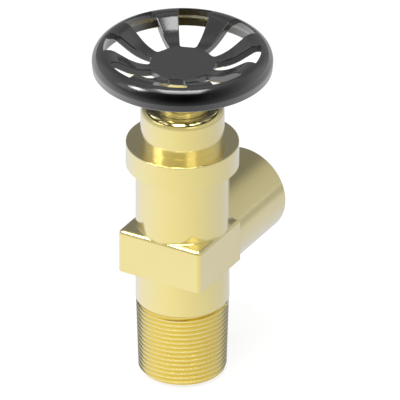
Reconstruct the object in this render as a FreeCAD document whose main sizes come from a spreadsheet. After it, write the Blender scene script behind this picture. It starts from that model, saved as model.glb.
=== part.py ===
import FreeCAD, Part
import math
import os
import re
import Sketcher

# Brass angle drain valve with a taper pipe thread below, a wrench block, a side outlet,
# a screwed bonnet and a dished handwheel. Millimetres, +Z up along the stem, +Y along
# the outlet, origin at the centre of the inlet end. The valve is shown closed.

# Driving dimensions. Heights are measured from the inlet end unless they say otherwise.
BODY_SIZES = {
    "thread_top": 38.3,
    "thread_large_radius": 21.2,
    "thread_taper": 32.0,
    "thread_pitch": 2.309,
    "thread_depth": 1.48,
    "thread_flank": 27.5,
    "thread_overcut": 0.15,
    "thread_relief": 1.1,
    "thread_relief_depth": 0.12,
    "thread_lead_in": 2.12,
    "end_chamfer_height": 2.4,
    "end_face_radius": 17.5,
    "inlet_bore_radius": 14.5,
    "barrel_radius": 21.4,
    "port_height": 65.2,
    "block_half_width": 21.7,
    "block_back": 15.0,
    "block_height": 21.3,
    "block_rise": 0.7,
    "block_corner": 2.25,
    "block_edge": 2.0,
    "port_radius": 21.2,
    "port_reach": 57.0,
    "outlet_bore_radius": 13.0,
    "outlet_thread_radius": 15.15,
    "outlet_thread_depth": 20.0,
    "outlet_mouth_chamfer": 1.6,
    "collar_bottom": 107.6,
    "collar_height": 11.6,
    "collar_radius": 25.9,
    "collar_edge": 0.6,
    "chamber_radius": 16.5,
    "chamber_floor": 46.5,
    "gasket_seat_height": 96.0,
    "bonnet_bore_radius": 18.0,
}

SEAT_SIZES = {
    "seat_pocket_depth": 4.0,
    "seat_pocket_radius": 16.0,
    "seat_bore_radius": 13.0,
    "seat_lip_radius": 14.4,
    "seat_lip_height": 2.5,
}

BONNET_SIZES = {
    "gasket_thickness": 1.5,
    "gasket_inner_radius": 15.0,
    "neck_radius": 18.5,
    "neck_height": 4.7,
    "head_radius": 19.2,
    "head_height": 13.8,
    "head_edge": 3.0,
    "gland_seat_radius": 13.75,
    "gland_seat_depth": 2.6,
    "packing_box_radius": 10.0,
    "packing_box_depth": 16.2,
    "throat_length": 2.5,
    "throat_clearance": 0.15,
}

GLAND_SIZES = {
    "packing_washer_thickness": 1.7,
    "packing_ring_thickness": 2.6,
    "follower_thickness": 2.5,
    "gland_gap": 0.2,
    "gland_flange_radius": 12.95,
    "gland_flange_height": 2.4,
    "gland_collar_radius": 10.8,
    "gland_collar_height": 7.0,
    "gland_hex_width": 18.6,
    "gland_hex_height": 4.3,
    "gland_hex_chamfer": 0.8,
    "gland_bore_radius": 5.7,
    "wiper_section_radius": 0.9,
    "wiper_groove_clearance": 0.05,
    "wiper_groove_height": 2.0,
    "wiper_groove_lid": 1.0,
}

STEM_SIZES = {
    "stem_radius": 5.5,
    "screw_radius": 7.0,
    "screw_top": 108.0,
    "foot_radius": 8.3,
    "foot_height": 3.0,
    "stem_square": 7.4,
    "stem_square_play": 0.3,
    "running_clearance": 0.05,
    "thread_clearance": 0.05,
    "foot_play": 0.3,
}

PLUG_SIZES = {
    "disc_thickness": 3.0,
    "disc_radius": 14.9,
    "holder_radius": 15.7,
    "holder_skirt": 1.7,
    "holder_plate": 6.5,
    "holder_edge": 1.5,
    "holder_boss_radius": 11.0,
    "holder_boss_height": 7.5,
    "foot_pocket_radius": 9.0,
    "holder_nut_width": 20.0,
    "holder_nut_height": 4.0,
    "holder_nut_clearance": 0.3,
    "disc_screw_radius": 3.0,
    "disc_screw_reach": 4.2,
    "disc_screw_hole_end": 0.6,
    "disc_screw_head_width": 10.0,
    "disc_screw_head_height": 3.5,
    "disc_washer_radius": 8.0,
    "disc_washer_thickness": 1.5,
    "lock_washer_radius": 5.4,
    "lock_washer_thickness": 1.2,
    "lock_washer_slit": 1.0,
    "screw_hole_clearance": 0.15,
}

WHEEL_SIZES = {
    "wheel_clearance": 1.7,
    "wheel_wall": 3.4,
    "rim_ring_radius": 34.4,
    "rim_section_radius": 7.0,
    "dish_depth": 8.1,
    "dish_angle": 34.0,
    "dish_radius": 20.0,
    "skirt_depth": 3.3,
    "skirt_draft": 0.3,
    "slot_count": 8,
    "slot_inner_radius": 14.7,
    "slot_inner_width": 7.3,
    "slot_flare": 12.1,
    "slot_reach": 35.15,
    "slot_corner": 1.4,
    "wheel_clocking": 20.4,
    "bush_radius": 10.0,
    "bush_height": 5.5,
    "bush_edge": 0.4,
    "bush_key_width": 12.0,
    "bush_key_height": 1.8,
    "set_screw_radius": 2.0,
    "set_screw_recess": 0.2,
    "set_screw_socket": 2.0,
    "set_screw_socket_depth": 2.0,
    "key_clearance": 0.05,
}

PACKING_RINGS = 3

# Length drawn for a construction line that marks an axis.
AXIS_LENGTH = 10.0
SAME_HEIGHT = 0.01

# Heights and radii that follow from the driving dimensions.
DERIVED = {
    "thread_small_radius": "thread_large_radius - thread_top / thread_taper",
    "thread_root_half": "thread_pitch / 12",
    "thread_mouth_half": "thread_root_half + (thread_depth + thread_overcut) * tan(thread_flank)",
    "collar_top": "collar_bottom + collar_height",
    "block_bottom": "port_height + block_rise - block_height / 2",
    "seat_pocket_floor": "chamber_floor - seat_pocket_depth",
    "seat_top": "chamber_floor + seat_lip_height",
    "bonnet_bottom": "gasket_seat_height + gasket_thickness",
    "neck_top": "collar_top + neck_height",
    "head_top": "neck_top + head_height",
    "gland_seat_floor": "head_top - gland_seat_depth",
    "packing_box_floor": "head_top - packing_box_depth",
    "throat_bottom": "packing_box_floor - throat_length",
    "packing_bottom": "packing_box_floor + packing_washer_thickness",
    "follower_bottom": "packing_bottom + %d * packing_ring_thickness" % PACKING_RINGS,
    "gland_bottom": "follower_bottom + follower_thickness",
    "gland_flange_bottom": "gland_seat_floor + gland_gap",
    "gland_flange_top": "gland_flange_bottom + gland_flange_height",
    "gland_hex_bottom": "gland_flange_top + gland_collar_height",
    "gland_top": "gland_hex_bottom + gland_hex_height",
    "gland_hex_corner": "gland_hex_width / 2 / cos(30)",
    "wiper_groove_top": "gland_top - wiper_groove_lid",
    "wiper_groove_bottom": "wiper_groove_top - wiper_groove_height",
    "wiper_ring_radius": "stem_radius + running_clearance + wiper_section_radius",
    "wiper_groove_radius": "wiper_ring_radius + wiper_section_radius + wiper_groove_clearance",
    "disc_top": "seat_top + disc_thickness",
    "holder_plate_top": "disc_top + holder_plate",
    "foot_bottom": "holder_plate_top",
    "foot_top": "foot_bottom + foot_height",
    "holder_boss_top": "holder_plate_top + holder_boss_height",
    "holder_nut_top": "holder_boss_top + holder_nut_height",
    "disc_washer_bottom": "seat_top - disc_washer_thickness",
    "lock_washer_bottom": "disc_washer_bottom - lock_washer_thickness",
    "disc_screw_bottom": "lock_washer_bottom - disc_screw_head_height",
    "disc_screw_hole_radius": "disc_screw_radius + screw_hole_clearance",
    "bush_bottom": "gland_top + wheel_clearance",
    "hub_bottom": "bush_bottom + bush_height",
    "hub_top": "hub_bottom + wheel_wall",
    "bush_key_top": "hub_bottom + bush_key_height",
    "set_screw_height": "hub_bottom - bush_height / 2",
    "rim_centre_height": "hub_top + dish_depth - rim_section_radius",
    "rim_bore_radius": "rim_section_radius - wheel_wall",
    "slope_top_radius": "rim_ring_radius - rim_section_radius * sin(dish_angle)",
    "slope_top_height": "rim_centre_height + rim_section_radius * cos(dish_angle)",
    "slope_foot_height": "hub_top + dish_radius * (1 - cos(dish_angle))",
    "slope_foot_radius": "slope_top_radius - (slope_top_height - slope_foot_height) / tan(dish_angle)",
    "hub_flat_radius": "slope_foot_radius - dish_radius * sin(dish_angle)",
    "wheel_radius": "rim_ring_radius + rim_section_radius",
    "skirt_bottom": "rim_centre_height - skirt_depth",
    "slot_half_width": "slot_inner_width / 2",
    "slot_outer_half_width": "slot_half_width + (slot_reach - slot_inner_radius) * tan(slot_flare)",
    "slot_corner_run": "slot_corner * tan(45 - slot_flare / 2)",
}

DRIVING = {}
for group in (BODY_SIZES, SEAT_SIZES, BONNET_SIZES, GLAND_SIZES, STEM_SIZES, PLUG_SIZES, WHEEL_SIZES):
    DRIVING.update(group)

doc = FreeCAD.newDocument("drain_valve")
sheet = doc.addObject("Spreadsheet::Sheet", "Sizes")
for row, (alias, size) in enumerate(DRIVING.items(), start=1):
    sheet.set("A%d" % row, alias)
    sheet.set("B%d" % row, str(size))
    sheet.setAlias("B%d" % row, alias)
doc.recompute()

PARTS = []
WORD = re.compile(r"[a-z][a-z_]*")


def formula(text):
    """Write a size formula in full: derived sizes are spelled out, driving ones name their cell."""
    def full_name(match):
        word = match.group(0)
        if word in DERIVED:
            return "(" + formula(DERIVED[word]) + ")"
        if word in DRIVING:
            return "Sizes." + word
        return word
    return WORD.sub(full_name, text)


def value(text):
    """The present value of a size formula."""
    return float(sheet.evalExpression(formula(text)))


def new_body(label):
    """A body of its own for one sub-part."""
    body = doc.addObject("PartDesign::Body", label)
    body.Label = label
    PARTS.append(body)
    return body


def plane(body, role):
    """One of the body's own origin planes."""
    for feature in body.Origin.OriginFeatures:
        if feature.Role == role:
            return feature
    raise RuntimeError("no plane " + role)


def place(sketch, geometry, position, x, y):
    """Fix one sketch point at the formulas x and y."""
    for kind, axis, text in (("DistanceX", -2, x), ("DistanceY", -1, y)):
        if abs(value(text)) < 1e-9:
            sketch.addConstraint(Sketcher.Constraint("PointOnObject", geometry, position, axis))
        else:
            made = sketch.addConstraint(
                Sketcher.Constraint(kind, -1, 1, geometry, position, value(text)))
            sketch.setExpression("Constraints[%d]" % made, formula(text))


def arc_between(start, end, radius, turn):
    """The short arc from start to end; turn is +1 when it runs counter-clockwise."""
    chord = end - start
    middle = (start + end) * 0.5
    rise = math.sqrt(max(radius * radius - chord.Length * chord.Length / 4, 0.0))
    side = FreeCAD.Vector(-chord.y, chord.x, 0).normalize() * turn
    centre = middle + side * rise
    first, last = (start, end) if turn > 0 else (end, start)
    first_angle = math.atan2(first.y - centre.y, first.x - centre.x)
    last_angle = math.atan2(last.y - centre.y, last.x - centre.x)
    if last_angle < first_angle:
        last_angle += 2 * math.pi
    circle = Part.Circle(centre, FreeCAD.Vector(0, 0, 1), radius)
    return Part.ArcOfCircle(circle, first_angle, last_angle)


def outline(body, name, role, corners, arcs=None, axis_height=None):
    """A closed sketch through corners given as formulas.

    arcs names the edges that are arcs: edge number, then radius formula and turn.
    axis_height adds a level construction line to revolve about.
    """
    arcs = arcs or {}
    sketch = body.newObject("Sketcher::SketchObject", name)
    sketch.AttachmentSupport = (plane(body, role), [""])
    sketch.MapMode = "FlatFace"
    points = [FreeCAD.Vector(value(x), value(y), 0) for x, y in corners]
    ends = []
    for number, start in enumerate(points):
        end = points[(number + 1) % len(points)]
        if number in arcs:
            radius, turn = arcs[number]
            edge = sketch.addGeometry(arc_between(start, end, value(radius), turn), False)
            ends.append((edge, 1, 2) if turn > 0 else (edge, 2, 1))
            made = sketch.addConstraint(Sketcher.Constraint("Radius", edge, value(radius)))
            sketch.setExpression("Constraints[%d]" % made, formula(radius))
        else:
            edge = sketch.addGeometry(Part.LineSegment(start, end), False)
            ends.append((edge, 1, 2))
    for number, (edge, first, last) in enumerate(ends):
        following, following_first = ends[(number + 1) % len(ends)][:2]
        sketch.addConstraint(
            Sketcher.Constraint("Coincident", edge, last, following, following_first))
        place(sketch, edge, first, *corners[number])
    if axis_height is not None:
        level = value(axis_height)
        line = sketch.addGeometry(
            Part.LineSegment(FreeCAD.Vector(0, level, 0), FreeCAD.Vector(AXIS_LENGTH, level, 0)), True)
        place(sketch, line, 1, "0", axis_height)
        sketch.addConstraint(Sketcher.Constraint("Horizontal", line))
        sketch.addConstraint(Sketcher.Constraint("DistanceX", line, 1, line, 2, AXIS_LENGTH))
    sketch.Visibility = False
    return sketch


def disc_outline(body, name, role, x, y, radius):
    """A sketch of one circle."""
    sketch = body.newObject("Sketcher::SketchObject", name)
    sketch.AttachmentSupport = (plane(body, role), [""])
    sketch.MapMode = "FlatFace"
    centre = FreeCAD.Vector(value(x), value(y), 0)
    circle = sketch.addGeometry(
        Part.Circle(centre, FreeCAD.Vector(0, 0, 1), value(radius)), False)
    place(sketch, circle, 3, x, y)
    made = sketch.addConstraint(Sketcher.Constraint("Radius", circle, value(radius)))
    sketch.setExpression("Constraints[%d]" % made, formula(radius))
    return sketch


def polygon_outline(body, name, sides, width, offset, role="XY_Plane", height="0"):
    """A regular polygon, its size given across the flats, on a plane moved by offset.

    height lifts its centre above the sketch's own origin.
    """
    corners = []
    for number in range(sides):
        angle = 360.0 * (number + 0.5) / sides
        reach = "(%s) / 2 / cos(%r)" % (width, 180.0 / sides)
        across = "%s * cos(%r)" % (reach, angle)
        along = "%s + %s * sin(%r)" % (height, reach, angle)
        corners.append((across, along))
    sketch = outline(body, name, role, corners)
    sketch.setExpression("AttachmentOffset.Base.z", formula(offset))
    return sketch


def turned(body, name, corners, arcs=None, cut=False, role="XZ_Plane", axis_height=None):
    """Revolve an outline about the stem axis, or about a level axis of its own."""
    sketch = outline(body, name + "_outline", role, corners, arcs, axis_height)
    axis = "V_Axis" if axis_height is None else "Axis0"
    return revolved(body, name, sketch, cut, axis)


def revolved(body, name, sketch, cut=False, axis="V_Axis"):
    """Turn a sketch a full circle, adding or cutting."""
    kind = "PartDesign::Groove" if cut else "PartDesign::Revolution"
    feature = body.newObject(kind, name)
    feature.Profile = sketch
    feature.ReferenceAxis = (sketch, [axis])
    feature.Angle = 360.0
    doc.recompute()
    return feature


def pulled(body, name, sketch, length, cut=False, reverse=False):
    """Pad or pocket a sketch by a length formula."""
    feature = body.newObject("PartDesign::Pocket" if cut else "PartDesign::Pad", name)
    feature.Profile = sketch
    feature.setExpression("Length", formula(length))
    feature.Reversed = reverse
    doc.recompute()
    return feature


def edges_at(shape, test):
    """Names of the edges whose sampled points all pass the test."""
    names = []
    for number, edge in enumerate(shape.Edges, start=1):
        if all(test(point) for point in edge.discretize(5)):
            names.append("Edge%d" % number)
    return names


def rounded(body, name, test, radius):
    """Fillet the edges of the body's last feature that pass the test."""
    base = body.Tip
    feature = body.newObject("PartDesign::Fillet", name)
    feature.Base = (base, edges_at(base.Shape, test))
    feature.setExpression("Radius", formula(radius))
    doc.recompute()
    return feature


def washer(label, bottom, top, inner, outer):
    """A plain ring about the stem axis."""
    body = new_body(label)
    turned(body, "ring", [(inner, bottom), (outer, bottom), (outer, top), (inner, top)])
    return body


def make_block(body):
    """The wrench block, just proud of the barrel on three sides and rounded along its top."""
    width, back, corner = "block_half_width", "block_back", "block_corner"
    block = outline(
        body, "block_outline", "XY_Plane",
        [("-" + width, back),
         ("-" + width, "-" + width + " + " + corner),
         ("-" + width + " + " + corner, "-" + width),
         (width + " - " + corner, "-" + width),
         (width, "-" + width + " + " + corner),
         (width, back)],
        arcs={1: (corner, 1), 3: (corner, 1)})
    block.setExpression("AttachmentOffset.Base.z", formula("block_bottom"))
    pulled(body, "block", block, "block_height")
    top = value("block_bottom + block_height")
    rounded(body, "block_top_edges", lambda point: abs(point.z - top) < SAME_HEIGHT, "block_edge")


def make_inlet_thread():
    """The threaded end of the casting: a cone, its long helical groove, a relief ring at the
    top and a chamfer at the end."""
    body = new_body("inlet_thread")
    turned(
        body, "nipple",
        [("inlet_bore_radius", "0"),
         ("thread_small_radius", "0"),
         ("thread_large_radius", "thread_top"),
         ("inlet_bore_radius", "thread_top")])
    crest = "thread_small_radius - thread_lead_in / thread_taper"
    groove = outline(
        body, "thread_groove", "XZ_Plane",
        [(crest + " - thread_depth", "0 - thread_lead_in - thread_root_half"),
         (crest + " + thread_overcut", "0 - thread_lead_in - thread_mouth_half"),
         (crest + " + thread_overcut", "0 - thread_lead_in + thread_mouth_half"),
         (crest + " - thread_depth", "0 - thread_lead_in + thread_root_half")])
    helix = body.newObject("PartDesign::SubtractiveHelix", "thread")
    helix.Profile = groove
    helix.ReferenceAxis = (groove, ["V_Axis"])
    helix.Mode = "pitch-height-angle"
    helix.setExpression("Pitch", formula("thread_pitch"))
    helix.setExpression("Height", formula("thread_top - thread_relief + thread_lead_in"))
    helix.setExpression("Angle", "atan(1 / Sizes.thread_taper)")
    doc.recompute()
    floor = "thread_large_radius - thread_depth - thread_relief_depth"
    turned(
        body, "thread_relief",
        [(floor, "thread_top - thread_relief"),
         ("barrel_radius + thread_depth", "thread_top - thread_relief"),
         ("barrel_radius + thread_depth", "thread_top"),
         (floor, "thread_top")],
        cut=True)
    turned(
        body, "end_chamfer",
        [("end_face_radius", "0"),
         ("thread_small_radius + thread_depth", "0"),
         ("thread_small_radius + thread_depth", "end_chamfer_height"),
         ("thread_small_radius + end_chamfer_height / thread_taper", "end_chamfer_height")],
        cut=True)


def make_valve_body():
    """The cast body above the thread: wrench block, barrel, collar and outlet."""
    body = new_body("body")
    make_block(body)
    turned(
        body, "barrel",
        [("0", "thread_top"),
         ("barrel_radius", "thread_top"),
         ("barrel_radius", "collar_bottom"),
         ("collar_radius", "collar_bottom"),
         ("collar_radius", "collar_top - collar_edge"),
         ("collar_radius - collar_edge", "collar_top"),
         ("0", "collar_top")],
        arcs={4: ("collar_edge", 1)})
    port = disc_outline(body, "port_outline", "XZ_Plane", "0", "port_height", "port_radius")
    pulled(body, "port", port, "port_reach", reverse=True)
    turned(
        body, "chamber",
        [("0", "thread_top"),
         ("inlet_bore_radius", "thread_top"),
         ("inlet_bore_radius", "seat_pocket_floor"),
         ("seat_pocket_radius", "seat_pocket_floor"),
         ("seat_pocket_radius", "chamber_floor"),
         ("chamber_radius", "chamber_floor"),
         ("chamber_radius", "gasket_seat_height"),
         ("bonnet_bore_radius", "gasket_seat_height"),
         ("bonnet_bore_radius", "collar_top"),
         ("0", "collar_top")],
        cut=True)
    turned(
        body, "outlet",
        [("0", "port_height"),
         ("port_reach", "port_height"),
         ("port_reach", "port_height + outlet_thread_radius + outlet_mouth_chamfer"),
         ("port_reach - outlet_mouth_chamfer", "port_height + outlet_thread_radius"),
         ("port_reach - outlet_thread_depth", "port_height + outlet_thread_radius"),
         ("port_reach - outlet_thread_depth", "port_height + outlet_bore_radius"),
         ("0", "port_height + outlet_bore_radius")],
        cut=True, role="YZ_Plane", axis_height="port_height")


def make_seat_ring():
    """The replaceable seat, screwed into the floor of the chamber."""
    body = new_body("seat_ring")
    outer = "seat_pocket_radius - thread_clearance"
    turned(
        body, "ring",
        [("seat_bore_radius", "seat_pocket_floor"),
         (outer, "seat_pocket_floor"),
         (outer, "chamber_floor"),
         ("seat_lip_radius", "chamber_floor"),
         ("seat_lip_radius", "seat_top"),
         ("seat_bore_radius", "seat_top")])


def make_bonnet():
    """The screwed bonnet: thread, neck, round head, packing box and a seat for the gland nut."""
    body = new_body("bonnet")
    bore = "screw_radius + running_clearance"
    throat = "stem_radius + throat_clearance"
    outer = "bonnet_bore_radius - thread_clearance"
    turned(
        body, "bonnet",
        [(bore, "bonnet_bottom"),
         (outer, "bonnet_bottom"),
         (outer, "collar_top"),
         ("neck_radius", "collar_top"),
         ("neck_radius", "neck_top"),
         ("head_radius", "neck_top"),
         ("head_radius", "head_top - head_edge"),
         ("head_radius - head_edge", "head_top"),
         ("gland_seat_radius", "head_top"),
         ("gland_seat_radius", "gland_seat_floor"),
         ("packing_box_radius", "gland_seat_floor"),
         ("packing_box_radius", "packing_box_floor"),
         (throat, "packing_box_floor"),
         (throat, "throat_bottom"),
         (bore, "throat_bottom")],
        arcs={6: ("head_edge", 1)})


def make_packing():
    """What seals the stem: a washer, three rings and the follower that presses them."""
    inner = "stem_radius + running_clearance"
    outer = "packing_box_radius - thread_clearance"
    washer("packing_washer", "packing_box_floor", "packing_bottom", inner, outer)
    for number in range(PACKING_RINGS):
        bottom = "packing_bottom + %d * packing_ring_thickness" % number
        top = "packing_bottom + %d * packing_ring_thickness" % (number + 1)
        washer("packing_ring_%d" % (number + 1), bottom, top, inner, outer)
    washer("gland_follower", "follower_bottom", "gland_bottom", inner, outer)


def make_gland_nut():
    """The gland nut: screwed spigot, flange flush in the bonnet, collar, hexagon, wiper groove."""
    body = new_body("gland_nut")
    outer = "packing_box_radius - thread_clearance"
    turned(
        body, "spigot",
        [("0", "gland_bottom"),
         (outer, "gland_bottom"),
         (outer, "gland_flange_bottom"),
         ("gland_flange_radius", "gland_flange_bottom"),
         ("gland_flange_radius", "gland_flange_top"),
         ("gland_collar_radius", "gland_flange_top"),
         ("gland_collar_radius", "gland_hex_bottom"),
         ("0", "gland_hex_bottom")])
    hexagon = polygon_outline(body, "hexagon_outline", 6, "gland_hex_width", "gland_hex_bottom")
    pulled(body, "hexagon", hexagon, "gland_hex_height")
    turned(
        body, "hexagon_chamfer",
        [("gland_hex_width / 2", "gland_top"),
         ("gland_hex_corner", "gland_top - gland_hex_chamfer"),
         ("gland_hex_corner + gland_hex_chamfer", "gland_top")],
        cut=True)
    turned(
        body, "bore",
        [("0", "gland_bottom"),
         ("gland_bore_radius", "gland_bottom"),
         ("gland_bore_radius", "wiper_groove_bottom"),
         ("wiper_groove_radius", "wiper_groove_bottom"),
         ("wiper_groove_radius", "wiper_groove_top"),
         ("gland_bore_radius", "wiper_groove_top"),
         ("gland_bore_radius", "gland_top"),
         ("0", "gland_top")],
        cut=True)


def make_wiper_ring():
    """The rubber ring that keeps dirt out of the gland."""
    body = new_body("wiper_ring")
    section = disc_outline(
        body, "section", "XZ_Plane", "wiper_ring_radius",
        "wiper_groove_bottom + wiper_section_radius", "wiper_section_radius")
    revolved(body, "ring", section)


def make_stem():
    """The rising stem: foot, screw, smooth shank and the square that the wheel sits on."""
    body = new_body("stem")
    turned(
        body, "shank",
        [("0", "foot_bottom"),
         ("foot_radius", "foot_bottom"),
         ("foot_radius", "foot_top"),
         ("screw_radius", "foot_top"),
         ("screw_radius", "screw_top - screw_radius + stem_radius"),
         ("stem_radius", "screw_top"),
         ("stem_radius", "bush_bottom"),
         ("0", "bush_bottom")])
    square = polygon_outline(body, "square_outline", 4, "stem_square", "bush_bottom")
    pulled(body, "square", square, "bush_key_top - bush_bottom - stem_square_play")


def make_disc_holder():
    """The disc holder: a skirt round the seat disc below and a pocket for the foot above."""
    body = new_body("disc_holder")
    skirt = "disc_radius + thread_clearance"
    turned(
        body, "holder",
        [("0", "disc_top"),
         (skirt, "disc_top"),
         (skirt, "disc_top - holder_skirt"),
         ("holder_radius", "disc_top - holder_skirt"),
         ("holder_radius", "holder_plate_top - holder_edge"),
         ("holder_radius - holder_edge", "holder_plate_top"),
         ("holder_boss_radius", "holder_plate_top"),
         ("holder_boss_radius", "holder_boss_top"),
         ("0", "holder_boss_top")])
    turned(
        body, "foot_pocket",
        [("0", "foot_bottom"),
         ("foot_pocket_radius", "foot_bottom"),
         ("foot_pocket_radius", "holder_boss_top"),
         ("0", "holder_boss_top")],
        cut=True)
    hole_top = "disc_top + disc_screw_reach + disc_screw_hole_end"
    turned(
        body, "screw_hole",
        [("0", "disc_top"),
         ("disc_screw_hole_radius", "disc_top"),
         ("disc_screw_hole_radius", hole_top),
         ("0", hole_top)],
        cut=True)


def make_holder_nut():
    """The nut that keeps the stem's foot in the disc holder."""
    body = new_body("holder_nut")
    bore = "screw_radius + holder_nut_clearance"
    hexagon = polygon_outline(body, "hexagon_outline", 6, "holder_nut_width", "holder_boss_top")
    pulled(body, "hexagon", hexagon, "holder_nut_height")
    outer = "foot_pocket_radius - thread_clearance"
    turned(
        body, "spigot",
        [("0", "foot_top + foot_play"),
         (outer, "foot_top + foot_play"),
         (outer, "holder_boss_top"),
         ("0", "holder_boss_top")])
    turned(
        body, "bore",
        [("0", "foot_top"),
         (bore, "foot_top"),
         (bore, "holder_nut_top"),
         ("0", "holder_nut_top")],
        cut=True)


def make_disc_parts():
    """The soft seat disc and the washers and screw that clamp it to its holder."""
    hole = "disc_screw_hole_radius"
    washer("seat_disc", "seat_top", "disc_top", hole, "disc_radius")
    washer("disc_washer", "disc_washer_bottom", "seat_top", hole, "disc_washer_radius")
    spring = washer(
        "lock_washer", "lock_washer_bottom", "disc_washer_bottom", hole, "lock_washer_radius")
    half_slit = "lock_washer_slit / 2"
    slit = outline(
        spring, "slit_outline", "XY_Plane",
        [("0", "0 - " + half_slit),
         ("lock_washer_radius + lock_washer_slit", "0 - " + half_slit),
         ("lock_washer_radius + lock_washer_slit", half_slit),
         ("0", half_slit)])
    slit.setExpression("AttachmentOffset.Base.z", formula("disc_washer_bottom"))
    pulled(spring, "slit", slit, "lock_washer_thickness", cut=True)
    screw = new_body("disc_screw")
    head = polygon_outline(
        screw, "head_outline", 6, "disc_screw_head_width", "disc_screw_bottom")
    pulled(screw, "head", head, "disc_screw_head_height")
    turned(
        screw, "shank",
        [("0", "lock_washer_bottom"),
         ("disc_screw_radius", "lock_washer_bottom"),
         ("disc_screw_radius", "disc_top + disc_screw_reach"),
         ("0", "disc_top + disc_screw_reach")])


def make_handwheel():
    """The dished wheel: a pressed shell with a deep rim, tapered slots and a keyed hub."""
    body = new_body("handwheel")
    ring, section, bore = "rim_ring_radius", "rim_section_radius", "rim_bore_radius"
    centre = "rim_centre_height"
    turned(
        body, "shell",
        [("0", "hub_bottom"),
         ("hub_flat_radius", "hub_bottom"),
         ("slope_foot_radius + wheel_wall * sin(dish_angle)",
          "slope_foot_height - wheel_wall * cos(dish_angle)"),
         (ring + " - " + bore + " * sin(dish_angle)", centre + " + " + bore + " * cos(dish_angle)"),
         (ring + " + " + bore, centre),
         ("wheel_radius - wheel_wall", "skirt_bottom"),
         ("wheel_radius - skirt_draft", "skirt_bottom"),
         ("wheel_radius", centre),
         ("slope_top_radius", "slope_top_height"),
         ("slope_foot_radius", "slope_foot_height"),
         ("hub_flat_radius", "hub_top"),
         ("0", "hub_top")],
        arcs={1: ("dish_radius + wheel_wall", 1),
              3: (bore, -1),
              7: (section, 1),
              9: ("dish_radius", -1)})
    run = "slot_corner_run"
    side_x = "slot_inner_radius + %s * cos(slot_flare)" % run
    side_y = "slot_half_width + %s * sin(slot_flare)" % run
    slot = outline(
        body, "slot_outline", "XY_Plane",
        [("slot_inner_radius", "slot_half_width - " + run),
         ("slot_inner_radius", "0 - slot_half_width + " + run),
         (side_x, "0 - (" + side_y + ")"),
         ("slot_reach", "0 - slot_outer_half_width"),
         ("slot_reach", "slot_outer_half_width"),
         (side_x, side_y)],
        arcs={1: ("slot_corner", 1),
              3: ("sqrt(slot_reach ^ 2 + slot_outer_half_width ^ 2)", 1),
              5: ("slot_corner", 1)})
    slot.setExpression("AttachmentOffset.Base.z", formula("hub_top + dish_depth"))
    first = pulled(body, "slot", slot, "dish_depth + wheel_wall", cut=True)
    around = body.newObject("PartDesign::PolarPattern", "slots")
    around.Originals = [first]
    around.Axis = (slot, ["N_Axis"])
    around.Angle = 360.0
    around.setExpression("Occurrences", formula("slot_count"))
    body.Tip = around
    doc.recompute()
    key = polygon_outline(
        body, "key_outline", 6, "bush_key_width + 2 * key_clearance", "hub_bottom")
    pulled(body, "key_recess", key, "bush_key_height", cut=True, reverse=True)
    return body


def make_wheel_bush():
    """The brass bush moulded into the hub, with a square hole for the stem."""
    body = new_body("wheel_bush")
    turned(
        body, "flange",
        [("0", "bush_bottom"),
         ("bush_radius - bush_edge", "bush_bottom"),
         ("bush_radius", "bush_bottom + bush_edge"),
         ("bush_radius", "hub_bottom"),
         ("0", "hub_bottom")])
    key = polygon_outline(body, "key_outline", 6, "bush_key_width", "hub_bottom")
    pulled(body, "key", key, "bush_key_height")
    square = polygon_outline(
        body, "square_outline", 4, "stem_square + 2 * key_clearance", "bush_key_top")
    pulled(body, "square_hole", square, "bush_key_top - bush_bottom", cut=True)
    hole = disc_outline(
        body, "screw_outline", "YZ_Plane", "0", "set_screw_height", "set_screw_radius")
    pulled(body, "screw_hole", hole, "bush_radius + bush_edge", cut=True, reverse=True)


def make_set_screw():
    """The socket set screw that bears on one flat of the stem's square."""
    body = new_body("set_screw")
    shank = disc_outline(
        body, "shank_outline", "YZ_Plane", "0", "set_screw_height",
        "set_screw_radius - thread_clearance")
    shank.setExpression("AttachmentOffset.Base.z", formula("stem_square / 2"))
    pulled(body, "shank", shank, "bush_radius - set_screw_recess - stem_square / 2")
    socket = polygon_outline(
        body, "socket_outline", 6, "set_screw_socket", "bush_radius - set_screw_recess",
        role="YZ_Plane", height="set_screw_height")
    pulled(body, "socket", socket, "set_screw_socket_depth", cut=True)


def turn_with_wheel(labels):
    """Turn the wheel and what is fixed to it to the angle that the wheel stands at."""
    for part in PARTS:
        if part.Label in labels:
            part.Placement = FreeCAD.Placement(
                FreeCAD.Vector(), FreeCAD.Rotation(FreeCAD.Vector(0, 0, 1), 1))
            part.setExpression("Placement.Rotation.Angle", formula("wheel_clocking"))


def check_parts():
    """Stop if any object failed or any sub-part has no sound solid."""
    for item in doc.Objects:
        if "Invalid" in item.State or "Error" in item.State:
            raise RuntimeError("failed object " + item.Label)
    for part in PARTS:
        if part.Shape.isNull() or not part.Shape.isValid() or len(part.Shape.Solids) != 1:
            raise RuntimeError("unsound sub-part " + part.Label)


def write_parts():
    """Write each sub-part under its own name."""
    os.makedirs("parts", exist_ok=True)
    for part in PARTS:
        part.Shape.exportStep("parts/" + part.Label + ".step")


make_inlet_thread()
make_valve_body()
make_seat_ring()
make_bonnet()
washer("bonnet_gasket", "gasket_seat_height", "bonnet_bottom", "gasket_inner_radius",
       "bonnet_bore_radius - thread_clearance")
make_packing()
make_gland_nut()
make_wiper_ring()
make_stem()
make_disc_holder()
make_holder_nut()
make_disc_parts()
make_handwheel()
make_wheel_bush()
make_set_screw()
turn_with_wheel(("stem", "handwheel", "wheel_bush", "set_screw"))
doc.recompute()
check_parts()
write_parts()
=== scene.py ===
import math

import bpy
from mathutils import Matrix, Vector

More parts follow.
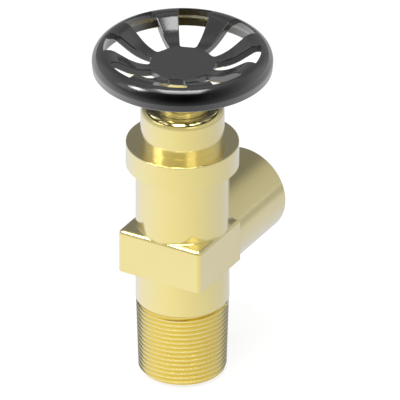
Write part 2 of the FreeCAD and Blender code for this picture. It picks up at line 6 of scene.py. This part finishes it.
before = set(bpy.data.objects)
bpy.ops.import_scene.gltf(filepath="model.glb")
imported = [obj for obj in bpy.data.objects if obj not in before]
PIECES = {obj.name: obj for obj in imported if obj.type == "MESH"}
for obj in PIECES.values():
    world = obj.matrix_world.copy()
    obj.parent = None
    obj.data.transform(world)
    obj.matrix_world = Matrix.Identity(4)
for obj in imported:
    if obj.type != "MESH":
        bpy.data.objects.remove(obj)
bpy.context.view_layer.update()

# Photograph: angles in radians, lengths in metres
CAMERA_AZIMUTH = math.radians(30)
CAMERA_ELEVATION = math.radians(30)
CAMERA_DISTANCE = 1.2
VIEW_WIDTH = 0.182
VIEW_HEIGHT_MID = 0.0652
VIEW_SHIFT_RIGHT = 0.00797
VIEW_SHIFT_UP = 0.01945

# Valve, in metres
OUTLET_HEIGHT = 0.0652
OUTLET_THREAD_RADIUS = 0.0155
OUTLET_THREAD_START = 0.0370
OUTLET_THREAD_PITCH = 0.00231
OUTLET_THREAD_RELIEF = 0.0022
BORE_RADIUS = 0.0149
BORE_TOP = 0.0455
BLOCK_TOP = 0.0765

# Soft corner between the block's top and the barrel, in metres
ROOT_REACH = 0.0245
ROOT_HEIGHT = 0.0015
ROOT_RADIUS = 0.0015

# Gloss: grows with a power of the view's slant, up to its top
SLANT_BLEND = 0.5
GLOSS_POWER = 1.3
GLOSS_TOP = 0.8

# Colours: two tones of each stuff
WHITE = (1, 1, 1, 1)
BRASS = ((0.910, 0.772, 0.284, 1), (0.890, 0.748, 0.266, 1))
BLACK = ((0.0010, 0.0010, 0.0011, 1), (0.0021, 0.0021, 0.0023, 1))
STEEL = ((0.44, 0.44, 0.45, 1), (0.56, 0.56, 0.58, 1))
RUBBER = ((0.012, 0.012, 0.012, 1), (0.03, 0.03, 0.031, 1))
PACKING = ((0.42, 0.40, 0.36, 1), (0.62, 0.60, 0.55, 1))
FIBRE = ((0.16, 0.05, 0.03, 1), (0.30, 0.11, 0.07, 1))

# Noises: scale to the metre, detail, roughness
BRASS_TONE = (45, 3, 0.5)
BRASS_WAVES = (110, 1, 0.5)
BRASS_MARKS = (900, 4, 0.6)
BLACK_TONE = (60, 3, 0.5)
BLACK_WAVES = (160, 2, 0.5)
BLACK_GRAIN = (1400, 3, 0.5)
STEEL_TONE = (200, 3, 0.5)
STEEL_GRAIN = (1100, 4, 0.6)
RUBBER_GRAIN = (1500, 4, 0.65)
PACKING_GRAIN = (1200, 4, 0.65)
FIBRE_GRAIN = (1800, 4, 0.65)

# Parts of a noise's range that tones and grain are spread over
TONE_SPREAD = (0.35, 0.65)
GRAIN_SPREAD = (0.3, 0.7)

# Relief in the surface and softened edges, in metres
TURNED_WAVE = 0.000005
CAST_WAVE = 0.00002
MARK_RELIEF = 0.000006
TOOL_RING_RELIEF = 0.000002
TOOL_RING_PITCH = 0.00035
BLACK_WAVE = 0.00001
BLACK_RELIEF = 0.000004
BLACK_EDGE = 0.0008
STEEL_RELIEF = 0.000008
STEEL_EDGE = 0.0002
BEVEL_SAMPLES = 8

# Roughness: the least and the most, for brass as shares of its polish
POLISH_SWING = (0.85, 1.25)
BORED_ROUGHER_BY = 0.16
BLACK_ROUGHNESS = (0.13, 0.2)
STEEL_ROUGHNESS = (0.2, 0.34)
MATT_SWING = 0.08

# Floor: size in metres, tone in daylight, own white and the tone that takes the shadow
FLOOR_SIZE = 8.0
FLOOR_TONE = 0.8
FLOOR_WHITE = 0.79
FLOOR_SHADOW_TONE = 0.2

# Floor's sheen in the metal: brighter to one side, and fading between two distances in metres
SHEEN = 0.82
SHEEN_SWING = 0.155
SHEEN_SIDE = (-0.342, -0.940, 0)
SHEEN_CENTRE = 0.01
SHEEN_NEAR = 0.25
SHEEN_FAR = 0.42
SHEEN_FADE = 0.7

# Room: daylight, and its tones in the metal from behind the valve, 0, to the camera's side, 1
DAYLIGHT = 0.72
ROOM_TONES = [(0.0, 0.20), (0.09, 0.21), (0.22, 0.42), (0.4, 0.52), (0.9, 0.59), (1.0, 0.54)]
LEFT_SHARE = 0.92
RIGHT_SHARE = 1.15

# Room's upper part and ceiling: a direction's height is 0 when level and 1 straight up
UPPER_FROM = 0.58
UPPER_TO = 0.78
UPPER_SHARE = 0.85
CEILING_FROM = 0.76
CEILING_TO = 0.9
CEILING_TONE = 0.52
STRAIGHT_UP = 0.001

# Lamps: name, place to the camera's right, towards it and up, aim, width, height, radiance
LAMPS = [
    ("overhead_box", (-0.01, 0.25, 1.0), "down", 0.56, 0.42, 11),
    ("overhead_link", (-0.42, 0.26, 1.0), "down", 0.26, 0.32, 2.2),
    ("left_lamp", (-0.70, 0.26, 0.84), "middle", 0.24, 0.27, 19),
    ("left_box", (-0.85, 0.22, 0.50), "middle", 0.44, 0.32, 0.5),
    ("right_box", (0.36, 0.79, 0.50), "middle", 0.4, 0.32, 0.45),
]
WATTS_FOR_RADIANCE = 4


def view_axes():
    """Directions to the camera, to its right and up its picture."""
    level = math.cos(CAMERA_ELEVATION)
    to_camera = Vector((math.sin(CAMERA_AZIMUTH) * level, -math.cos(CAMERA_AZIMUTH) * level,
                        math.sin(CAMERA_ELEVATION)))
    right = Vector((math.cos(CAMERA_AZIMUTH), math.sin(CAMERA_AZIMUTH), 0))
    return to_camera, right, to_camera.cross(right)


def make_camera():
    to_camera, right, up = view_axes()
    aim = Vector((0, 0, VIEW_HEIGHT_MID)) + right * VIEW_SHIFT_RIGHT + up * VIEW_SHIFT_UP
    camera = bpy.data.objects.new("camera", bpy.data.cameras.new("camera"))
    camera.data.type = "ORTHO"
    camera.data.ortho_scale = VIEW_WIDTH
    camera.location = aim + to_camera * CAMERA_DISTANCE
    camera.rotation_mode = "QUATERNION"
    camera.rotation_quaternion = (-to_camera).to_track_quat("-Z", "Y")
    bpy.context.scene.collection.objects.link(camera)
    bpy.context.scene.camera = camera


class Tree:
    """Short ways to add shader nodes to a node tree."""

    def __init__(self, node_tree):
        self.nodes = node_tree.nodes
        self.links = node_tree.links
        self.nodes.clear()

    def add(self, kind, **settings):
        node = self.nodes.new(kind)
        for name, value in settings.items():
            setattr(node, name, value)
        return node

    def put(self, value, socket):
        """Link another node's output to a socket, or set a constant on it."""
        if isinstance(value, bpy.types.NodeSocket):
            self.links.new(value, socket)
        else:
            socket.default_value = value

    def math(self, operation, first, second=0.0):
        node = self.add("ShaderNodeMath", operation=operation)
        self.put(first, node.inputs[0])
        self.put(second, node.inputs[1])
        return node.outputs[0]

    def point(self):
        return self.add("ShaderNodeTexCoord").outputs["Object"]

    def split(self, vector):
        node = self.add("ShaderNodeSeparateXYZ")
        self.put(vector, node.inputs[0])
        return node.outputs[0], node.outputs[1], node.outputs[2]

    def length(self, first, second):
        squares = self.math("ADD", self.math("MULTIPLY", first, first),
                            self.math("MULTIPLY", second, second))
        return self.math("SQRT", squares)

    def along(self, vector, direction):
        node = self.add("ShaderNodeVectorMath", operation="DOT_PRODUCT")
        self.put(vector, node.inputs[0])
        node.inputs[1].default_value = direction
        return node.outputs["Value"]

    def noise(self, vector, scale, detail, roughness):
        node = self.add("ShaderNodeTexNoise")
        self.put(vector, node.inputs["Vector"])
        node.inputs["Scale"].default_value = scale
        node.inputs["Detail"].default_value = detail
        node.inputs["Roughness"].default_value = roughness
        return node.outputs["Fac"]

    def ranged(self, value, low, high, to_low, to_high):
        node = self.add("ShaderNodeMapRange")
        self.put(value, node.inputs["Value"])
        node.inputs["From Min"].default_value = low
        node.inputs["From Max"].default_value = high
        node.inputs["To Min"].default_value = to_low
        node.inputs["To Max"].default_value = to_high
        return node.outputs["Result"]

    def blend(self, factor, first, second, mode="MIX"):
        node = self.add("ShaderNodeMix", data_type="RGBA", blend_type=mode)
        self.put(factor, node.inputs["Factor"])
        self.put(first, node.inputs["A"])
        self.put(second, node.inputs["B"])
        return node.outputs["Result"]

    def shade(self, value):
        """A grey from a number."""
        node = self.add("ShaderNodeCombineColor")
        for socket in node.inputs[:3]:
            self.put(value, socket)
        return node.outputs[0]

    def ramp(self, factor, stops):
        node = self.add("ShaderNodeValToRGB")
        self.put(factor, node.inputs["Fac"])
        elements = node.color_ramp.elements
        while len(elements) < len(stops):
            elements.new(0.5)
        for element, (position, colour) in zip(elements, stops):
            element.position = position
            element.color = colour
        return node.outputs["Color"]

    def two_tones(self, factor, spread, tones):
        """One tone up to where the spread begins, the other from where it ends."""
        return self.ramp(factor, list(zip(spread, tones)))

    def bump(self, height, distance, normal=None):
        node = self.add("ShaderNodeBump")
        self.put(height, node.inputs["Height"])
        node.inputs["Distance"].default_value = distance
        node.inputs["Strength"].default_value = 1.0
        if normal is not None:
            self.put(normal, node.inputs["Normal"])
        return node.outputs["Normal"]

    def bevel(self, radius):
        node = self.add("ShaderNodeBevel", samples=BEVEL_SAMPLES)
        self.put(radius, node.inputs["Radius"])
        return node.outputs["Normal"]

    def shader(self, kind, **inputs):
        node = self.add(kind)
        for name, value in inputs.items():
            self.put(value, node.inputs[name.replace("_", " ")])
        return node.outputs[0]

    def mix(self, factor, first, second):
        node = self.add("ShaderNodeMixShader")
        self.put(factor, node.inputs[0])
        self.put(first, node.inputs[1])
        self.put(second, node.inputs[2])
        return node.outputs[0]

    def both(self, first, second):
        node = self.add("ShaderNodeAddShader")
        self.put(first, node.inputs[0])
        self.put(second, node.inputs[1])
        return node.outputs[0]

    def end(self, kind, socket):
        self.put(socket, self.add(kind).inputs["Surface"])


def grey(level):
    return (level, level, level, 1)


def new_material(name):
    material = bpy.data.materials.new(name)
    material.use_nodes = True
    return material, Tree(material.node_tree)


def dress(material, *names):
    for name in names:
        slots = PIECES[name].data.materials
        slots.clear()
        slots.append(material)


def polished(tree, colour, rough, normal, metallic):
    """A surface whose white gloss grows steadily with the slant of the view."""
    slant = tree.add("ShaderNodeLayerWeight")
    slant.inputs["Blend"].default_value = SLANT_BLEND
    tree.put(normal, slant.inputs["Normal"])
    amount = tree.math("POWER", slant.outputs["Facing"], GLOSS_POWER)
    amount = tree.math("MULTIPLY", amount, GLOSS_TOP)
    under = tree.shader("ShaderNodeBsdfPrincipled", Base_Color=colour, Metallic=metallic,
                        Roughness=rough, Specular_IOR_Level=0.0, Normal=normal)
    gloss = tree.shader("ShaderNodeBsdfAnisotropic", Color=WHITE, Roughness=rough, Normal=normal)
    return tree.mix(amount, under, gloss)


# Brass

def brass_finish(tree, point, polish):
    """The slow changes of tone, the roughness and the polishing marks that all brass has."""
    slow = tree.noise(point, *BRASS_TONE)
    marks = tree.noise(point, *BRASS_MARKS)
    colour = tree.blend(tree.ranged(slow, *TONE_SPREAD, 0, 1), *BRASS)
    least, most = POLISH_SWING
    rough = tree.ranged(marks, *GRAIN_SPREAD, polish * least, polish * most)
    return colour, rough, marks


def uneven(tree, point, wave, marks, mark_relief, edge_radius):
    """A softened edge, a faint unevenness and the polishing marks."""
    waves = tree.noise(point, *BRASS_WAVES)
    normal = tree.bump(waves, wave, tree.bevel(edge_radius))
    return tree.bump(marks, mark_relief, normal)


def brass(name, polish, edge_radius, tool_rings=0.0):
    """Polished brass, with rings from the turning tool where they have a depth."""
    material, tree = new_material(name)
    point = tree.point()
    colour, rough, marks = brass_finish(tree, point, polish)
    normal = uneven(tree, point, TURNED_WAVE, marks, MARK_RELIEF, edge_radius)
    if tool_rings:
        x, y, z = tree.split(point)
        rings = tree.math("ADD", tree.length(x, y), z)
        rings = tree.math("SINE", tree.math("MULTIPLY", rings, 2 * math.pi / TOOL_RING_PITCH))
        normal = tree.bump(rings, tool_rings, normal)
    tree.end("ShaderNodeOutputMaterial", polished(tree, colour, rough, normal, 1.0))
    return material


def cast_brass(name, polish, edge_radius, wave, mark_relief):
    """The body's brass, with rougher bored walls and the pipe thread inside the outlet."""
    material, tree = new_material(name)
    point = tree.point()
    x, y, z = tree.split(point)
    around = tree.length(x, y)
    up = tree.math("SUBTRACT", z, OUTLET_HEIGHT)
    colour, rough, marks = brass_finish(tree, point, polish)
    # Bored walls
    inlet = tree.math("MULTIPLY", tree.math("LESS_THAN", around, BORE_RADIUS),
                      tree.math("LESS_THAN", z, BORE_TOP))
    in_port = tree.math("LESS_THAN", tree.length(x, up), OUTLET_THREAD_RADIUS)
    outlet = tree.math("MULTIPLY", in_port, tree.math("GREATER_THAN", y, 0.0))
    bored = tree.math("MAXIMUM", inlet, outlet)
    rough = tree.math("ADD", rough, tree.math("MULTIPLY", bored, BORED_ROUGHER_BY))
    # Soft corner at the block's top
    from_top = tree.math("ABSOLUTE", tree.math("SUBTRACT", z, BLOCK_TOP))
    root = tree.math("MULTIPLY", tree.math("LESS_THAN", around, ROOT_REACH),
                     tree.math("LESS_THAN", from_top, ROOT_HEIGHT))
    edge = tree.ranged(root, 0, 1, edge_radius, ROOT_RADIUS)
    normal = uneven(tree, point, wave, marks, mark_relief, edge)
    # Outlet's thread
    threaded = tree.math("MULTIPLY", outlet, tree.math("GREATER_THAN", y, OUTLET_THREAD_START))
    turn = tree.math("DIVIDE", tree.math("ARCTAN2", up, x), 2 * math.pi)
    turns = tree.math("ADD", tree.math("DIVIDE", y, OUTLET_THREAD_PITCH), turn)
    groove = tree.math("ABSOLUTE", tree.math("SUBTRACT", tree.math("FRACT", turns), 0.5))
    normal = tree.bump(tree.math("MULTIPLY", groove, threaded), OUTLET_THREAD_RELIEF, normal)
    tree.end("ShaderNodeOutputMaterial", polished(tree, colour, rough, normal, 1.0))
    return material


# Handwheel

def gloss_black(name):
    """Gloss black coating: no shine where it faces the eye, a strong one at a slant."""
    material, tree = new_material(name)
    point = tree.point()
    grain = tree.noise(point, *BLACK_GRAIN)
    colour = tree.two_tones(tree.noise(point, *BLACK_TONE), TONE_SPREAD, BLACK)
    rough = tree.ranged(grain, *GRAIN_SPREAD, *BLACK_ROUGHNESS)
    waves = tree.noise(point, *BLACK_WAVES)
    normal = tree.bump(waves, BLACK_WAVE, tree.bevel(BLACK_EDGE))
    normal = tree.bump(grain, BLACK_RELIEF, normal)
    tree.end("ShaderNodeOutputMaterial", polished(tree, colour, rough, normal, 0.0))
    return material


# Small parts

def matt(name, tones, grain_noise, middle_rough, relief):
    """Rubber, packing or fibre: two tones in a grain, with the same grain as relief."""
    material, tree = new_material(name)
    grain = tree.noise(tree.point(), *grain_noise)
    rough = tree.ranged(grain, *GRAIN_SPREAD, middle_rough - MATT_SWING,
                        middle_rough + MATT_SWING)
    surface = tree.shader("ShaderNodeBsdfPrincipled", Roughness=rough,
                          Base_Color=tree.two_tones(grain, GRAIN_SPREAD, tones),
                          Normal=tree.bump(grain, relief))
    tree.end("ShaderNodeOutputMaterial", surface)
    return material


def steel(name):
    material, tree = new_material(name)
    point = tree.point()
    grain = tree.noise(point, *STEEL_GRAIN)
    tone = tree.noise(point, *STEEL_TONE)
    surface = tree.shader("ShaderNodeBsdfPrincipled", Metallic=1.0,
                          Base_Color=tree.two_tones(tone, GRAIN_SPREAD, STEEL),
                          Roughness=tree.ranged(grain, *GRAIN_SPREAD, *STEEL_ROUGHNESS),
                          Normal=tree.bump(grain, STEEL_RELIEF, tree.bevel(STEEL_EDGE)))
    tree.end("ShaderNodeOutputMaterial", surface)
    return material


def make_materials():
    dress(cast_brass("cast_brass", polish=0.17, edge_radius=0.0002, wave=CAST_WAVE,
                     mark_relief=MARK_RELIEF),
          "body")
    dress(cast_brass("thread_brass", polish=0.19, edge_radius=0.0, wave=0.0, mark_relief=0.0),
          "inlet_thread")
    dress(brass("turned_brass", polish=0.17, edge_radius=0.00015),
          "bonnet", "gland_nut", "wheel_bush")
    dress(brass("trim_brass", polish=0.16, edge_radius=0.0002, tool_rings=TOOL_RING_RELIEF),
          "stem", "seat_ring", "disc_holder", "holder_nut", "gland_follower", "packing_washer",
          "disc_washer")
    dress(gloss_black("black_wheel"), "handwheel")
    dress(matt("rubber", RUBBER, RUBBER_GRAIN, middle_rough=0.6, relief=0.00002),
          "seat_disc", "wiper_ring")
    dress(matt("packing", PACKING, PACKING_GRAIN, middle_rough=0.7, relief=0.00004),
          "packing_ring_1", "packing_ring_2", "packing_ring_3")
    dress(matt("fibre", FIBRE, FIBRE_GRAIN, middle_rough=0.75, relief=0.00003),
          "bonnet_gasket")
    dress(steel("steel"), "set_screw", "lock_washer", "disc_screw")


# Studio

def seen_directly(tree):
    """1 for rays from the eye and through glass, and 1 for rays off polished metal."""
    path = tree.add("ShaderNodeLightPath")
    through = tree.math("MAXIMUM", path.outputs["Is Camera Ray"],
                        path.outputs["Is Transmission Ray"])
    return through, path.outputs["Is Glossy Ray"]


def make_floor():
    """A white floor with the valve's shadow; metal shows it as a sheen that fades away."""
    mesh = bpy.data.meshes.new("floor")
    half = FLOOR_SIZE / 2
    corners = [(-half, -half, 0), (half, -half, 0), (half, half, 0), (-half, half, 0)]
    mesh.from_pydata(corners, [], [(0, 1, 2, 3)])
    floor = bpy.data.objects.new("floor", mesh)
    bpy.context.scene.collection.objects.link(floor)
    material, tree = new_material("white_floor")
    through, mirrored = seen_directly(tree)
    plain = tree.shader("ShaderNodeBsdfDiffuse", Color=grey(FLOOR_TONE))
    picture = tree.both(tree.shader("ShaderNodeEmission", Color=WHITE, Strength=FLOOR_WHITE),
                        tree.shader("ShaderNodeBsdfDiffuse", Color=grey(FLOOR_SHADOW_TONE)))
    point = tree.point()
    x, y, z = tree.split(point)
    reach = tree.math("MAXIMUM", tree.length(x, y), SHEEN_CENTRE)
    turn = tree.math("DIVIDE", tree.along(point, SHEEN_SIDE), reach)
    glow = tree.math("ADD", tree.math("MULTIPLY", turn, SHEEN_SWING), SHEEN)
    fade = tree.ranged(reach, SHEEN_NEAR, SHEEN_FAR, 1.0, SHEEN_FADE)
    sheen = tree.shader("ShaderNodeEmission", Color=WHITE,
                        Strength=tree.math("MULTIPLY", glow, fade))
    surface = tree.mix(mirrored, tree.mix(through, plain, picture), sheen)
    tree.end("ShaderNodeOutputMaterial", surface)
    mesh.materials.append(material)


def make_room():
    """A pale room that is darker behind the valve, seen in the metal only."""
    world = bpy.data.worlds.new("studio")
    world.use_nodes = True
    bpy.context.scene.world = world
    tree = Tree(world.node_tree)
    through, mirrored = seen_directly(tree)
    direction = tree.add("ShaderNodeTexCoord").outputs["Generated"]
    x, y, z = tree.split(direction)
    flat = tree.math("MAXIMUM", tree.length(x, y), STRAIGHT_UP)
    sine, cosine = math.sin(CAMERA_AZIMUTH), math.cos(CAMERA_AZIMUTH)
    towards = tree.along(direction, (sine, -cosine, 0))
    sideways = tree.along(direction, (cosine, sine, 0))
    front = tree.ranged(tree.math("DIVIDE", towards, flat), -1, 1, 0, 1)
    side = tree.ranged(sideways, -1, 1, LEFT_SHARE, RIGHT_SHARE)
    upper = tree.ranged(z, UPPER_FROM, UPPER_TO, 1.0, UPPER_SHARE)
    ceiling = tree.ranged(z, CEILING_FROM, CEILING_TO, 0.0, 1.0)
    room = tree.ramp(front, [(place, grey(tone)) for place, tone in ROOM_TONES])
    room = tree.blend(1.0, room, tree.shade(side), "MULTIPLY")
    room = tree.blend(1.0, room, tree.shade(upper), "MULTIPLY")
    room = tree.blend(ceiling, room, grey(CEILING_TONE))
    room = tree.blend(tree.math("LESS_THAN", z, 0.0), room, WHITE)
    light = tree.shader("ShaderNodeBackground", Color=WHITE, Strength=DAYLIGHT)
    white = tree.shader("ShaderNodeBackground", Color=WHITE, Strength=1.0)
    walls = tree.shader("ShaderNodeBackground", Color=room, Strength=1.0)
    surface = tree.mix(mirrored, tree.mix(through, light, white), walls)
    tree.end("ShaderNodeOutputWorld", surface)


def make_lamp(name, place, aim, width, height, radiance):
    """A soft box at a place to the camera's right, towards it and up, in metres."""
    to_camera, right, _ = view_axes()
    level = Vector((to_camera.x, to_camera.y, 0)).normalized()
    upright = Vector((0, 0, 1))
    middle = Vector((0, 0, VIEW_HEIGHT_MID))
    side, near, high = place
    data = bpy.data.lights.new(name, "AREA")
    data.shape = "RECTANGLE"
    data.size = width
    data.size_y = height
    data.energy = radiance * WATTS_FOR_RADIANCE * width * height
    lamp = bpy.data.objects.new(name, data)
    lamp.location = middle + right * side + level * near + Vector((0, 0, high))
    lamp.rotation_mode = "QUATERNION"
    if aim == "down":
        across = right
        back = upright
    else:
        across = upright.cross(lamp.location).normalized()
        back = (lamp.location - middle).normalized()
    rise = back.cross(across)
    lamp.rotation_quaternion = Matrix((across, rise, back)).transposed().to_quaternion()
    lamp.visible_camera = False
    bpy.context.scene.collection.objects.link(lamp)


bpy.context.scene.view_settings.view_transform = "Standard"
make_camera()
make_materials()
make_floor()
make_room()
for lamp_row in LAMPS:
    make_lamp(*lamp_row)
